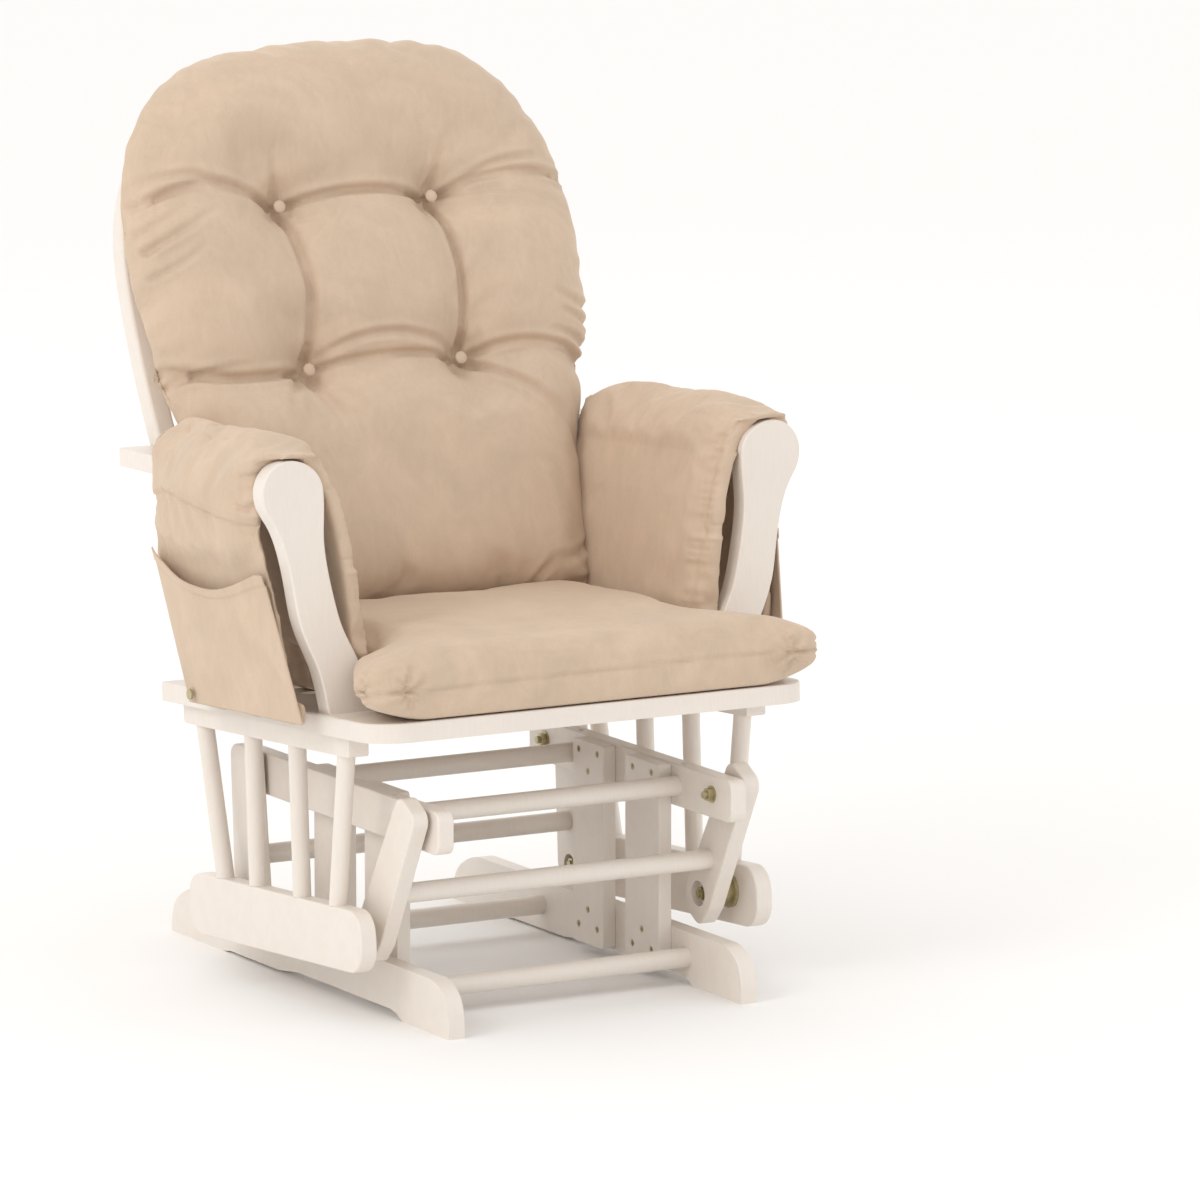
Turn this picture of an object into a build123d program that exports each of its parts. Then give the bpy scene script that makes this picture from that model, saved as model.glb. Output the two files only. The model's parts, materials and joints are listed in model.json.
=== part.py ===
"""Glider nursery chair: fixed base, two pairs of swing arms, hanging seat with soft pads.

Units are millimetres, +Z is up, the chair faces -Y and its left-hand pieces are on +X.
The floor is Z = 0.  Heights and depths of the base are measured in the BASE frame, those
of everything that swings with the seat in the SEAT frame, which leans back a little.
"""
import os
from math import cos, radians, sin

from build123d import *

os.makedirs("parts", exist_ok=True)

# ---------------------------------------------------------------- frames
BASE_Y = -84.1          # the base's own datum, so that the whole chair is centred on Y = 0
SEAT_TILT = 3.6         # the hanging seat leans back by this much at rest
BACK_TILT = 18.0        # the back leans back from the seat frame
BACK_FOOT_Y = 140.0     # front of the hoop where it meets the top of the seat frame
SIDES = {"left": 1, "right": -1}

# ---------------------------------------------------------------- boards and rods
BOARD = 19.0            # thickness of runners, fixed rails, swing arms
EASE = 2.0              # rounded-over edges of the boards
ROD_R = 10.8            # round cross rods
ROD_IN = 12.0           # how far a rod goes into its board
GLUE_GAP = 0.05         # play of a rod in its socket

# ---------------------------------------------------------------- base
RAIL_IN = 168.0         # inner face of the runners and the fixed rails
RAIL_OUT = RAIL_IN + BOARD
RUNNER_BOTTOM = [(-268, 0), (-165, 0), (-150, 7), (-138, 9), (72, 9), (95, 6), (118, 3),
                 (232, 3), (250, 0), (375, 0)]
RUNNER_REAR = [(375, 0), (373, 19), (366, 34), (349, 47), (325, 56), (300, 58)]
RUNNER_FRONT = [(-221, 58), (-245, 53), (-260, 41), (-267, 20), (-268, 0)]
RAIL_Z = (192.0, 238.3)
RAIL_Y = (-246.0, 198.0)
RAIL_CORNER = 11.0
UPRIGHT_T = 16.0
UPRIGHT_Z = (11.0, 236.8)
UPRIGHT_Y = {"front": (-118.6, -45.1), "rear": (3.1, 70.5)}
RUNNER_RODS = {"front": (-152.0, 30.0), "rear": (170.0, 30.0)}
RAIL_RODS = {"front": (-130.5, 215.0), "rear": (94.0, 215.0)}
SCREW_HEAD_R = 3.8
SCREW_SHANK_R = 2.1
SCREW_HEAD_T = 2.6
SCREW_SUNK = 0.6
SCREW_LEN = 28.0
SLOT_SHARE = 1.3
SCREW_PATTERN = [(-20.5, 226.0), (20.5, 226.0), (0.0, 204.0),
                 (0.0, 50.0), (-20.5, 31.0), (20.5, 31.0)]
PIN_R = 3.4
PIN_LEN = 12.0
PIN_SUNK = 1.2
PIN_FROM_FACE = 8.4

# ---------------------------------------------------------------- swing arms and pivots
ARM_IN = 191.5
ARM_OUT = ARM_IN + BOARD
ARM_LEN = 141.71        # pivot to pivot
ARM_LEAN = {"front": 29.51, "rear": -4.86}
TOP_PIVOT = {"front": (-205.0, 218.0), "rear": (161.0, 218.0)}
ARM_HEAD = 29.0         # wood above the top pivot
ARM_TAIL = 31.0         # wood below the bottom pivot
ARM_TOP_HALF = 22.0
ARM_TAIL_HALF = 27.0
ARM_FOOT_HALF = 20.25
ARM_CORNER = 14.0
ARM_ROD_AT = 93.0       # cross rod, measured down the arm from the top pivot
THROUGH = 1.0           # how far a cut runs past the face it leaves by
BOLT_R = 4.0
BOLT_PLAY = 0.4
OPEN_PLAY = 3.4         # play of these arms on their lower bolts
OPEN_END = "front"
NUT_R = 7.2
NUT_T = 6.0
WASHER_R = 9.2
WASHER_T = 1.5
RECESS_R = 11.5
RECESS_OPEN_R = 14.0
RECESS_DEPTH = 9.5
TOP_BORE_TO = 207.0
FLANGE_R = 13.0
FLANGE_T = 3.6
CUP_DISC_R = 19.0
CUP_DISC_T = 4.0
CUP_BARREL_R = 14.0
CUP_GAP = 0.6

# ---------------------------------------------------------------- hanging frame
LOWER_RAIL_X = (231.5, 251.0)
LOWER_RAIL_Y = (-198.0, 201.0)
LOWER_RAIL_Z = (49.3, 116.4)
LOWER_RAIL_CORNER = 27.0
SIDE_RAIL_X = (229.9, 253.0)
SIDE_RAIL_Y = (-190.9, 193.0)
SIDE_RAIL_Z = (279.7, 302.2)
SPINDLE_R = 9.8
SPINDLE_TRIM = 76.0
TENON_R = 6.0
TENON_LEN = 10.0
SPINDLES = [(165.0, 130.0), (52.0, 53.0), (-50.0, -49.0), (-162.0, -131.0)]
BOARD_TOP = 323.0
SEAT_HALF = 264.4
SEAT_FRONT = -276.8
SEAT_REAR = 221.0
SEAT_CORNER = 42.5
SIDE_BOARD_IN = 196.0
FRONT_BOARD_BACK = -191.0
REAR_BOARD_FRONT = 128.0
SLAT_COUNT = 6
SLAT_W = 34.0
SLAT_T = 9.0
SLAT_REBATE = 14.0

# ---------------------------------------------------------------- arms of the chair
POST_Y = (-155.6, -133.6)
POST_OUTER = [(257, 323), (261, 345), (268, 372), (279, 398), (288, 424), (293, 453),
              (300, 491), (313, 526), (323, 543), (326, 557)]
POST_HEAD = [(326, 557), (323, 574), (311, 588), (293, 593.5), (274, 589), (260, 577),
             (254, 561)]
POST_INNER = [(254, 561), (253.5, 545), (255, 508), (252, 478), (245, 443), (236, 412),
              (223, 385), (211, 357), (204, 337), (201, 323)]
ARM_BOARD_Z = (558.0, 578.0)
ARM_BOARD_OUTLINE = [(258, -133.4), (311, -133.4), (311, 20), (303, 140), (289, 254),
                     (255.2, 254), (255.2, 190), (256, 60)]

# ---------------------------------------------------------------- back
HOOP_DEPTH = 26.0
HOOP_WIDTH = 24.0
HOOP_PATH = [(-222, -40), (-234, 180), (-249, 420), (-226, 560), (-130, 652), (0, 676),
             (130, 652), (226, 560), (249, 420), (234, 180), (222, -40)]
BACK_SLAT_W = 42.0
BACK_SLAT_T = 10.0
BACK_SLATS = [(-132.0, 632.0), (-66.0, 652.0), (0.0, 658.0), (66.0, 652.0), (132.0, 632.0)]
BACK_RAIL_S = (40.0, 92.0)
BACK_RAIL_T = 20.0
BACK_RAIL_HALF = 226.0
HOOP_X_AT_ARM = 240.0
HOOP_BOLT_TO = 280.0

# ---------------------------------------------------------------- soft goods
SEAT_PAD_Z = (323.4, 390.0)
SEAT_PAD_OUTLINE = [(-272, -288), (272, -288), (272, -164), (195, -164), (195, 122),
                    (-195, 122), (-195, -164), (-272, -164)]
SEAT_PAD_ROUND = 24.0
SEAT_PAD_EASE = 19.2
BACK_PAD_Y = (-92.0, -1.0)
BACK_PAD_OUTLINE = [(-210, 78), (-222, 200), (-231, 290), (-250, 345), (-271, 440),
                    (-262, 545), (-235, 612), (-180, 668), (-100, 694), (0, 701)]
BACK_PAD_ROUND = 34.0
BUTTON_S = (326.0, 510.0)
BUTTON_X = 94.0
BUTTON_R = 7.0
BUTTON_T = 4.0
TUFT_R = 34.0
TUFT_DEPTH = 26.0
TUFT_PLAY = 1.0
PAD_Y = (-131.5, 160.0)
PAD_TOP = [(233.5, 590), (239, 603), (256, 611), (280, 614), (304, 612), (319, 603),
           (326, 588)]
PAD_SECTION_OUT = [(326, 588), (292, 312), (280, 312)]
PAD_SECTION_IN = [(311.6, 556), (311.6, 578.6), (251.2, 578.6), (251.2, 400), (245, 384),
                  (233.5, 388), (233.5, 590)]
PAD_NOSE_Y = -158.0
PAD_NOSE_CUT = [(251.4, 340), (251.4, 566), (258, 580), (272, 591), (285, 596.5), (326, 596.5),
                (340, 560), (340, 340)]
PAD_INNER_FRONT = [(-148, 596), (-148, 484), (-131.6, 470), (-131.6, 440), (-112, 380),
                   (-170, 380), (-170, 596)]
PAD_OUTER_FRONT = [(-131.6, 540), (-114, 515), (-130, 430), (-166, 312), (-166, 300),
                   (-190, 300), (-190, 540)]
PAD_OUTER_REAR = [(160, 530), (102, 312), (102, 300), (190, 300), (190, 530)]
FLAP_INNER_X = 226.0    # planes between which the two flaps are trimmed
FLAP_OUTER_X = 270.0
FLAP_TRIM = 60.0
POCKET_Z = (316.0, 468.0)
POCKET_T = 4.0
POCKET_MOUTH = 16.0
POCKET_FRONT_Y = (-160.0, -118.0)    # at its bottom and at its mouth
POCKET_REAR_Y = (99.0, 138.0)
SNAP_R = 6.0
SNAP_T = 2.0
SNAP_AT = (80.0, 326.0)
SNAP_STANDOFF = 2.8     # the pocket's slope under the stud


# ---------------------------------------------------------------- frames and planes
def leaning(origin, lean):
    """A frame at origin whose Z axis leans towards +Y by lean degrees."""
    return Plane(origin=origin, x_dir=(1, 0, 0),
                 z_dir=(0, sin(radians(lean)), cos(radians(lean))))


BASE = Plane((0, BASE_Y, 0))
SEAT = leaning((0, BASE_Y, 0), SEAT_TILT)
SEAT_AXIS = Axis(SEAT.origin, SEAT.z_dir)
BACK = leaning(SEAT.from_local_coords((0, BACK_FOOT_Y, BOARD_TOP)), SEAT_TILT + BACK_TILT)


def at(frame, x, y, z):
    """A point given in a frame's own coordinates."""
    return frame.from_local_coords(Vector(x, y, z))


def level(frame, z):
    """Plane square to the frame's Z: a sketch on it is drawn in (x, y)."""
    return Plane(origin=at(frame, 0, 0, z), x_dir=frame.x_dir, z_dir=frame.z_dir)


def flank(frame, x):
    """Plane square to the frame's X: a sketch on it is drawn in (y, z)."""
    return Plane(origin=at(frame, x, 0, 0), x_dir=frame.y_dir, z_dir=frame.x_dir)


def face_on(frame, y):
    """Plane square to the frame's Y, facing the front: a sketch is drawn in (x, z)."""
    return Plane(origin=at(frame, 0, y, 0), x_dir=frame.x_dir, z_dir=-frame.y_dir)


def arm_frame(end):
    """Frame at a top pivot whose Z axis runs up the swing arm."""
    y, z = TOP_PIVOT[end]
    return leaning(at(BASE, 0, y, z), -ARM_LEAN[end])


def bottom_pivot(end):
    """Depth and height of a bottom pivot in the seat frame."""
    point = SEAT.to_local_coords(at(arm_frame(end), 0, 0, -ARM_LEN))
    return point.Y, point.Z


def along(start, finish):
    """Place for a rod from one point to another, and its length."""
    axis = finish - start
    middle = (start + finish) * 0.5
    return Plane(origin=middle, z_dir=axis).location, axis.length


def save(builder, label):
    builder.part.label = label
    export_step(builder.part, f"parts/{label}.step")


def cross_socket(frame, side, x_face, y, z, radius, depth):
    """Blind round socket cut from a board's inner face outwards."""
    with BuildSketch(flank(frame, side * x_face)) as mouth:
        with Locations((y, z)):
            Circle(radius)
    extrude(mouth.sketch, amount=side * depth, mode=Mode.SUBTRACT)


def disc(frame, x_from, x_to, y, z, radius, mode=Mode.ADD):
    """Round piece standing across the chair between two X positions."""
    with BuildSketch(flank(frame, x_from)) as outline:
        with Locations((y, z)):
            Circle(radius)
    extrude(outline.sketch, amount=x_to - x_from, mode=mode)


def hexagon(frame, x_from, x_to, y, z, radius):
    with BuildSketch(flank(frame, x_from)) as outline:
        with Locations((y, z)):
            RegularPolygon(radius, 6)
    extrude(outline.sketch, amount=x_to - x_from)


def plate(frame, x_from, x_to, y_span, z_span, corner):
    """Board standing on edge, its length along Y, with rounded corners."""
    with BuildSketch(flank(frame, x_from)) as outline:
        with Locations(((y_span[0] + y_span[1]) / 2, (z_span[0] + z_span[1]) / 2)):
            RectangleRounded(y_span[1] - y_span[0], z_span[1] - z_span[0], corner)
    extrude(outline.sketch, amount=x_to - x_from)


def ease_flat_faces(builder, size):
    """Round over the outline of both broad faces of a board."""
    broad = builder.faces().sort_by(SortBy.AREA)[-2:]
    fillet(broad.edges(), size)


# ---------------------------------------------------------------- base pieces
def make_runner(name, side):
    with BuildPart() as runner:
        with BuildSketch(flank(BASE, side * RAIL_IN)):
            with BuildLine():
                Polyline(*RUNNER_BOTTOM)
                Spline(*RUNNER_REAR)
                Line(RUNNER_REAR[-1], RUNNER_FRONT[0])
                Spline(*RUNNER_FRONT)
            make_face()
        extrude(amount=side * BOARD)
        for y, z in RUNNER_RODS.values():
            cross_socket(BASE, side, RAIL_IN, y, z, ROD_R + GLUE_GAP, ROD_IN + GLUE_GAP)
        for y_span in UPRIGHT_Y.values():
            screw_holes(side, sum(y_span) / 2)
    save(runner, f"runner_{name}")


def make_fixed_rail(name, side):
    with BuildPart() as rail:
        plate(BASE, side * RAIL_IN, side * RAIL_OUT, RAIL_Y, RAIL_Z, RAIL_CORNER)
        ease_flat_faces(rail, EASE)
        for y, z in RAIL_RODS.values():
            cross_socket(BASE, side, RAIL_IN, y, z, ROD_R + GLUE_GAP, ROD_IN + GLUE_GAP)
        for y, z in TOP_PIVOT.values():
            cross_socket(BASE, side, RAIL_IN, y, z, BOLT_R + GLUE_GAP, BOARD)
        for y_span in UPRIGHT_Y.values():
            screw_holes(side, sum(y_span) / 2)
        for y, z in RAIL_RODS.values():
            with BuildSketch(level(BASE, RAIL_Z[1])):
                with Locations((side * (RAIL_IN + PIN_FROM_FACE), y)):
                    Circle(PIN_R + GLUE_GAP)
            extrude(amount=-(PIN_LEN + PIN_SUNK + GLUE_GAP), mode=Mode.SUBTRACT)
    save(rail, f"fixed_rail_{name}")


def screw_holes(side, y_middle):
    """Clearance for the six screws of one upright, cut from whatever is being built."""
    face = RAIL_IN - UPRIGHT_T
    for dy, z in SCREW_PATTERN:
        start = side * face
        disc(BASE, start, side * (face + SCREW_LEN + THROUGH), y_middle + dy, z,
             SCREW_SHANK_R + GLUE_GAP, Mode.SUBTRACT)
        disc(BASE, start, side * (face + SCREW_SUNK + SCREW_HEAD_T), y_middle + dy, z,
             SCREW_HEAD_R + GLUE_GAP, Mode.SUBTRACT)


def make_upright(name, side, end):
    y_span = UPRIGHT_Y[end]
    with BuildPart() as upright:
        plate(BASE, side * (RAIL_IN - UPRIGHT_T), side * RAIL_IN, y_span, UPRIGHT_Z, EASE * 2)
        ease_flat_faces(upright, EASE / 2)
        screw_holes(side, sum(y_span) / 2)
    save(upright, f"upright_{end}_{name}")


def make_screws():
    """All the wood screws of the four uprights, each with a cross recess in its head."""
    face = RAIL_IN - UPRIGHT_T
    slot = SCREW_HEAD_R * SLOT_SHARE
    with BuildPart() as screws:
        for side in SIDES.values():
            head = face + SCREW_SUNK
            for y_span in UPRIGHT_Y.values():
                for dy, z in SCREW_PATTERN:
                    y = sum(y_span) / 2 + dy
                    disc(BASE, side * head, side * (head + SCREW_HEAD_T), y, z, SCREW_HEAD_R)
                    disc(BASE, side * head, side * (face + SCREW_LEN), y, z, SCREW_SHANK_R)
                    with BuildSketch(flank(BASE, side * head)):
                        with Locations((y, z)):
                            Rectangle(slot, SCREW_SHANK_R / 2)
                            Rectangle(SCREW_SHANK_R / 2, slot)
                    extrude(amount=side * SCREW_HEAD_T / 2, mode=Mode.SUBTRACT)
    save(screws, "upright_screws")


def make_rod(label, frame, half, y, z):
    with BuildPart() as rod:
        disc(frame, -half, half, y, z, ROD_R)
    save(rod, label)


def make_rail_pins():
    """Plugged pins that lock the cross rods into the fixed rails."""
    with BuildPart() as pins:
        for side in SIDES.values():
            for y, z in RAIL_RODS.values():
                with BuildSketch(level(BASE, RAIL_Z[1] - PIN_SUNK)):
                    with Locations((side * (RAIL_IN + PIN_FROM_FACE), y)):
                        Circle(PIN_R)
                extrude(amount=-(RAIL_Z[1] - PIN_SUNK - z - ROD_R - EASE))
    save(pins, "rail_pins")


# ---------------------------------------------------------------- swing arms
def make_swing_arm(end, name, side):
    frame = arm_frame(end)
    play = OPEN_PLAY if end == OPEN_END else BOLT_PLAY
    recess = RECESS_OPEN_R if end == OPEN_END else RECESS_R
    outline = [(-ARM_TOP_HALF, ARM_HEAD), (ARM_TOP_HALF, ARM_HEAD),
               (ARM_TAIL_HALF, -ARM_LEN), (ARM_FOOT_HALF, -ARM_LEN - ARM_TAIL),
               (-ARM_FOOT_HALF, -ARM_LEN - ARM_TAIL), (-ARM_TAIL_HALF, -ARM_LEN)]
    with BuildPart() as arm:
        with BuildSketch(flank(frame, side * ARM_IN)) as profile:
            with BuildLine():
                Polyline(*outline, close=True)
            make_face()
            fillet(profile.vertices(), ARM_CORNER)
        extrude(amount=side * BOARD)
        ease_flat_faces(arm, EASE)
        cross_socket(frame, side, ARM_IN, 0, 0, BOLT_R + BOLT_PLAY, TOP_BORE_TO - ARM_IN)
        cross_socket(frame, side, ARM_IN, 0, -ARM_ROD_AT, ROD_R + GLUE_GAP, ROD_IN + GLUE_GAP)
        cross_socket(frame, side, ARM_IN, 0, -ARM_LEN, BOLT_R + play, BOARD)
        cross_socket(frame, side, ARM_IN, 0, -ARM_LEN, recess, RECESS_DEPTH)
    save(arm, f"swing_arm_{end}_{name}")


def make_top_bolts():
    """Pivot bolts through the fixed rails into the heads of the swing arms."""
    with BuildPart() as bolts:
        for side in SIDES.values():
            for y, z in TOP_PIVOT.values():
                start = RAIL_IN - WASHER_T - NUT_T - BOLT_R
                disc(BASE, side * start, side * (TOP_BORE_TO - THROUGH), y, z, BOLT_R)
    save(bolts, "top_pivot_bolts")
    with BuildPart() as nuts:
        for side in SIDES.values():
            for y, z in TOP_PIVOT.values():
                inner = RAIL_IN - WASHER_T
                hexagon(BASE, side * inner, side * (inner - NUT_T), y, z, NUT_R)
                disc(BASE, side * RAIL_IN, side * inner, y, z, WASHER_R)
                disc(BASE, side * (inner - NUT_T - THROUGH), side * (RAIL_IN + THROUGH), y, z,
                     BOLT_R + GLUE_GAP, Mode.SUBTRACT)
    save(nuts, "top_pivot_nuts")
    with BuildPart() as flanges:
        for side in SIDES.values():
            for y, z in TOP_PIVOT.values():
                disc(BASE, side * RAIL_OUT, side * (RAIL_OUT + FLANGE_T), y, z, FLANGE_R)
                disc(BASE, side * (RAIL_OUT - THROUGH), side * (RAIL_OUT + FLANGE_T + THROUGH), y, z,
                     BOLT_R + GLUE_GAP, Mode.SUBTRACT)
    save(flanges, "top_bearing_flanges")


def make_bottom_bolts():
    """Bolts, nuts and bearing cups that carry the hanging frame on the swing arms."""
    floor = ARM_IN + RECESS_DEPTH
    washer = floor - BOLT_PLAY
    rail = LOWER_RAIL_X[0]
    with BuildPart() as bolts:
        for side in SIDES.values():
            for end in TOP_PIVOT:
                y, z = bottom_pivot(end)
                disc(SEAT, side * (ARM_IN - THROUGH), side * (rail + ROD_IN), y, z, BOLT_R)
    save(bolts, "bottom_pivot_bolts")
    with BuildPart() as nuts:
        for side in SIDES.values():
            for end in TOP_PIVOT:
                y, z = bottom_pivot(end)
                inner = washer - WASHER_T
                hexagon(SEAT, side * inner, side * (inner - NUT_T), y, z, NUT_R)
                disc(SEAT, side * washer, side * inner, y, z, WASHER_R)
                disc(SEAT, side * (inner - NUT_T - THROUGH), side * (washer + THROUGH), y, z,
                     BOLT_R + GLUE_GAP, Mode.SUBTRACT)
    save(nuts, "bottom_pivot_nuts")
    with BuildPart() as cups:
        for side in SIDES.values():
            for end in TOP_PIVOT:
                y, z = bottom_pivot(end)
                disc(SEAT, side * rail, side * (rail - CUP_DISC_T), y, z, CUP_DISC_R)
                disc(SEAT, side * rail, side * (ARM_OUT + CUP_GAP), y, z, CUP_BARREL_R)
                disc(SEAT, side * (rail + THROUGH), side * ARM_OUT, y, z,
                     BOLT_R + GLUE_GAP, Mode.SUBTRACT)
    save(cups, "bearing_cups")


# ---------------------------------------------------------------- hanging frame
def spindle_ends(side, top_y, bottom_y):
    """Where one spindle's axis crosses the two rails."""
    x_top = side * sum(SIDE_RAIL_X) / 2
    x_bottom = side * sum(LOWER_RAIL_X) / 2
    top = at(SEAT, x_top, top_y, SIDE_RAIL_Z[0])
    bottom = at(SEAT, x_bottom, bottom_y, LOWER_RAIL_Z[1])
    return top, bottom


def spindle_tenons(side, grow, mode):
    """The thin ends of one side's spindles, or the sockets for them."""
    for top_y, bottom_y in SPINDLES:
        top, bottom = spindle_ends(side, top_y, bottom_y)
        axis = (top - bottom).normalized()
        reach = TENON_LEN + grow
        place, length = along(bottom - axis * reach, top + axis * reach)
        with Locations(place):
            Cylinder(TENON_R + grow, length, mode=mode)


def make_spindles(name, side):
    x_middle = side * sum(SIDE_RAIL_X) / 2
    gap = SIDE_RAIL_Z[0] - LOWER_RAIL_Z[1]
    with BuildPart() as spindles:
        for top_y, bottom_y in SPINDLES:
            top, bottom = spindle_ends(side, top_y, bottom_y)
            axis = (top - bottom).normalized()
            place, length = along(bottom - axis * SPINDLE_R, top + axis * SPINDLE_R)
            with Locations(place):
                Cylinder(SPINDLE_R, length)
        between = Plane(origin=at(SEAT, x_middle, 0, LOWER_RAIL_Z[1] + gap / 2),
                        x_dir=SEAT.x_dir, z_dir=SEAT.z_dir)
        with Locations(between.location):
            Box(SPINDLE_TRIM, SEAT_HALF * 2, gap, mode=Mode.INTERSECT)
        spindle_tenons(side, 0, Mode.ADD)
    save(spindles, f"spindles_{name}")


def make_lower_rail(name, side):
    with BuildPart() as rail:
        plate(SEAT, side * LOWER_RAIL_X[0], side * LOWER_RAIL_X[1], LOWER_RAIL_Y,
              LOWER_RAIL_Z, LOWER_RAIL_CORNER)
        ease_flat_faces(rail, EASE)
        spindle_tenons(side, GLUE_GAP, Mode.SUBTRACT)
        for end in TOP_PIVOT:
            y, z = bottom_pivot(end)
            cross_socket(SEAT, side, LOWER_RAIL_X[0], y, z, BOLT_R + GLUE_GAP,
                         ROD_IN + GLUE_GAP)
    save(rail, f"lower_rail_{name}")


def make_side_rail(name, side):
    with BuildPart() as rail:
        plate(SEAT, side * SIDE_RAIL_X[0], side * SIDE_RAIL_X[1], SIDE_RAIL_Y, SIDE_RAIL_Z,
              EASE * 2)
        spindle_tenons(side, GLUE_GAP, Mode.SUBTRACT)
    save(rail, f"side_rail_{name}")


def board_thickness():
    return BOARD_TOP - SIDE_RAIL_Z[1]


def make_seat_front_board():
    depth = FRONT_BOARD_BACK - SEAT_FRONT
    with BuildPart() as board:
        with BuildSketch(level(SEAT, SIDE_RAIL_Z[1])) as outline:
            with Locations((0, SEAT_FRONT + depth / 2)):
                Rectangle(2 * SEAT_HALF, depth)
            front = outline.vertices().group_by(Axis.Y)[0]
            fillet(front, SEAT_CORNER)
        extrude(amount=board_thickness())
        fillet(board.faces().sort_by(SEAT_AXIS)[-1].edges(), EASE)
    save(board, "seat_front_board")


def make_seat_side_board(name, side):
    with BuildPart() as board:
        with BuildSketch(level(SEAT, SIDE_RAIL_Z[1])):
            with Locations((side * (SIDE_BOARD_IN + SEAT_HALF) / 2,
                            (FRONT_BOARD_BACK + SEAT_REAR) / 2)):
                Rectangle(SEAT_HALF - SIDE_BOARD_IN, SEAT_REAR - FRONT_BOARD_BACK)
        extrude(amount=board_thickness())
        top = board.faces().sort_by(SEAT_AXIS)[-1]
        fillet(top.edges().sort_by(Axis.X)[-1 if side > 0 else 0], EASE)
        slat_slots(side)
    save(board, f"seat_side_board_{name}")


def slat_positions():
    span = REAR_BOARD_FRONT - FRONT_BOARD_BACK
    pitch = span / SLAT_COUNT
    return [FRONT_BOARD_BACK + pitch * (i + 0.5) for i in range(SLAT_COUNT)]


def slat_slots(side):
    """Rebates in a side board's inner edge for the ends of the slats."""
    x_middle = side * (SIDE_BOARD_IN + SLAT_REBATE / 2 - THROUGH)
    with BuildSketch(level(SEAT, BOARD_TOP)) as slots:
        with Locations(*[(x_middle, y) for y in slat_positions()]):
            Rectangle(SLAT_REBATE + 2 * THROUGH, SLAT_W + 2 * GLUE_GAP)
    extrude(slots.sketch, amount=-(SLAT_T + GLUE_GAP), mode=Mode.SUBTRACT)


def make_seat_slats():
    half = SIDE_BOARD_IN + SLAT_REBATE - GLUE_GAP
    with BuildPart() as slats:
        with BuildSketch(level(SEAT, BOARD_TOP)):
            with Locations(*[(0, y) for y in slat_positions()]):
                Rectangle(2 * half, SLAT_W)
        extrude(amount=-SLAT_T)
    save(slats, "seat_slats")


def make_seat_rear_board():
    with BuildPart() as board:
        with BuildSketch(level(SEAT, SIDE_RAIL_Z[1])):
            with Locations((0, (REAR_BOARD_FRONT + SEAT_REAR) / 2)):
                Rectangle(2 * SIDE_BOARD_IN, SEAT_REAR - REAR_BOARD_FRONT)
        extrude(amount=board_thickness())
    save(board, "seat_rear_board")


# ---------------------------------------------------------------- arms of the chair
def mirrored(points, side):
    return [(side * x, z) for x, z in points]


def make_arm_post(name, side):
    with BuildPart() as post:
        with BuildSketch(face_on(SEAT, POST_Y[1])):
            with BuildLine():
                Spline(*mirrored(POST_OUTER, side))
                Spline(*mirrored(POST_HEAD, side))
                Spline(*mirrored(POST_INNER, side))
                Line(mirrored(POST_INNER, side)[-1], mirrored(POST_OUTER, side)[0])
            make_face()
        extrude(amount=POST_Y[1] - POST_Y[0])
        front = post.faces().sort_by(Axis(SEAT.origin, SEAT.y_dir))[0]
        rim = front.edges().filter_by(lambda e: e.geom_type != GeomType.LINE)
        fillet(rim, EASE)
    save(post, f"arm_post_{name}")


def make_arm_board(name, side):
    with BuildPart() as board:
        with BuildSketch(level(SEAT, ARM_BOARD_Z[0])):
            with BuildLine():
                Polyline(*mirrored(ARM_BOARD_OUTLINE, side), close=True)
            make_face()
        extrude(amount=ARM_BOARD_Z[1] - ARM_BOARD_Z[0])
        hoop_bolt(side, GLUE_GAP, Mode.SUBTRACT)
    save(board, f"arm_board_{name}")


def hoop_bolt(side, grow, mode):
    """Round-headed bolt from an arm board into the side of the hoop."""
    z = sum(ARM_BOARD_Z) / 2
    s = (z - BOARD_TOP) / cos(radians(BACK_TILT))
    y = BACK_FOOT_Y + s * sin(radians(BACK_TILT)) + HOOP_DEPTH / 2
    disc(SEAT, side * (HOOP_X_AT_ARM - ROD_IN - grow), side * HOOP_BOLT_TO, y, z,
         BOLT_R + grow, mode)


def make_hoop_bolts():
    z = sum(ARM_BOARD_Z) / 2
    s = (z - BOARD_TOP) / cos(radians(BACK_TILT))
    y = BACK_FOOT_Y + s * sin(radians(BACK_TILT)) + HOOP_DEPTH / 2
    with BuildPart() as bolts:
        for side in SIDES.values():
            disc(SEAT, side * (HOOP_X_AT_ARM - ROD_IN), side * HOOP_BOLT_TO, y, z,
                 BOLT_R)
    save(bolts, "hoop_bolts")


# ---------------------------------------------------------------- back
def make_hoop():
    with BuildPart() as hoop:
        with BuildLine(face_on(BACK, HOOP_DEPTH / 2)) as path:
            Spline(*HOOP_PATH)
        foot = path.line @ 0
        heading = path.line % 0
        with BuildSketch(Plane(origin=foot, x_dir=BACK.y_dir, z_dir=heading)):
            RectangleRounded(HOOP_DEPTH, HOOP_WIDTH, EASE * 2)
        sweep(path=path.line)
        split(bisect_by=level(SEAT, BOARD_TOP), keep=Keep.TOP)
        for side in SIDES.values():
            hoop_bolt(side, GLUE_GAP, Mode.SUBTRACT)
        back_slat_ends(GLUE_GAP, Mode.SUBTRACT)
        back_rail_body(GLUE_GAP, Mode.SUBTRACT)
    save(hoop, "back_hoop")


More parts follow.
